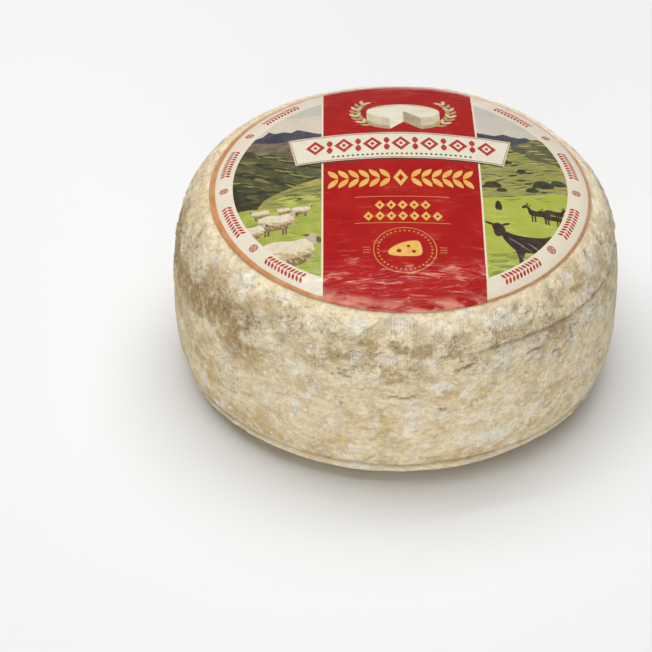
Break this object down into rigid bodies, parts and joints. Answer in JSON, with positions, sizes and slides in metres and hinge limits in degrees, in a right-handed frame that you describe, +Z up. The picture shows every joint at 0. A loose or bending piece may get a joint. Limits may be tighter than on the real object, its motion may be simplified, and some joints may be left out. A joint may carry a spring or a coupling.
{
  "type": "cheese wheel",
  "caption": "Whole pressed cheese wheel with a domed top, rounded shoulder, dry mottled natural rind and a printed round paper label on top.",
  "frame": {"origin": "centre of the flat base, on the surface the wheel stands on", "axes": "+Z up through the middle of the wheel, -Y towards the front of the label, +X to the label's right"},
  "size_m": [0.2, 0.2, 0.1025],
  "materials": {
    "rind": "dry matt natural rind, cream and beige with chalky white, grey and ochre patches",
    "label": "colour-printed paper with a thin clear satin film"
  },
  "bodies": {
    "root": {"cheese_wheel": "rind", "paper_label": "label"}
  },
  "joints": []
}
